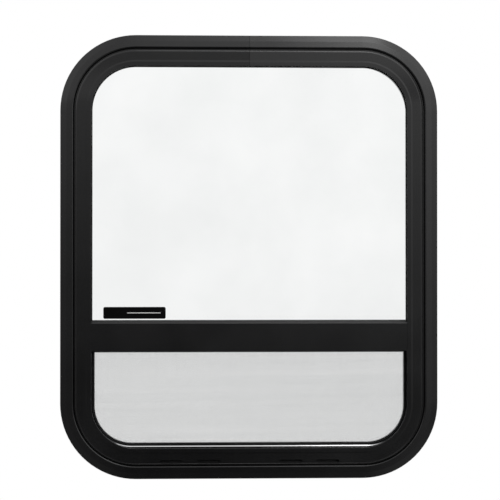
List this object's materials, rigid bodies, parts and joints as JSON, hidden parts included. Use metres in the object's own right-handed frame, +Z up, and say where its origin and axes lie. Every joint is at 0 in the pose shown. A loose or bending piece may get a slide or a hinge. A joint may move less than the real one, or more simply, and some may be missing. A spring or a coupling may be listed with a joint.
{
  "type": "van window",
  "caption": "Black framed van window with large round corners, a fixed upper pane, a crossbar, an insect screen over a sliding lower pane, and an inner clamp ring.",
  "frame": {"origin": "middle of the flange's bottom run, on the face that lies against the vehicle's outer wall", "axes": "+X to the right seen from outside, +Y from outside to inside, +Z up"},
  "size_m": [0.46, 0.041, 0.54],
  "materials": {
    "frame_black": "satin",
    "bare_aluminium": "satin",
    "foam_grey": "matte",
    "clear_glass": "polished",
    "black_rubber": "matte",
    "pile_grey": "matte",
    "screen_black": "gloss",
    "charcoal_mesh": "matte",
    "flock_black": "matte",
    "latch_plastic": "matte"
  },
  "bodies": {
    "root": {"main_frame": "frame_black", "frame_joint_plate": "bare_aluminium", "wall_seal": "foam_grey", "fixed_glass": "clear_glass", "fixed_glass_gasket": "black_rubber", "crossbar": "frame_black", "crossbar_glazing_strip": "black_rubber", "crossbar_pile_seal": "pile_grey", "screen_frame": "screen_black", "screen_top_rail": "screen_black", "screen_spline": "black_rubber", "screen_mesh": "charcoal_mesh", "sash_glass": "clear_glass", "sash_top_rail": "frame_black", "sash_rail_rubber": "black_rubber", "sash_run_channel": "flock_black", "sash_latch_left": "latch_plastic", "sash_latch_right": "latch_plastic", "clamp_ring": "frame_black"}
  },
  "joints": []
}
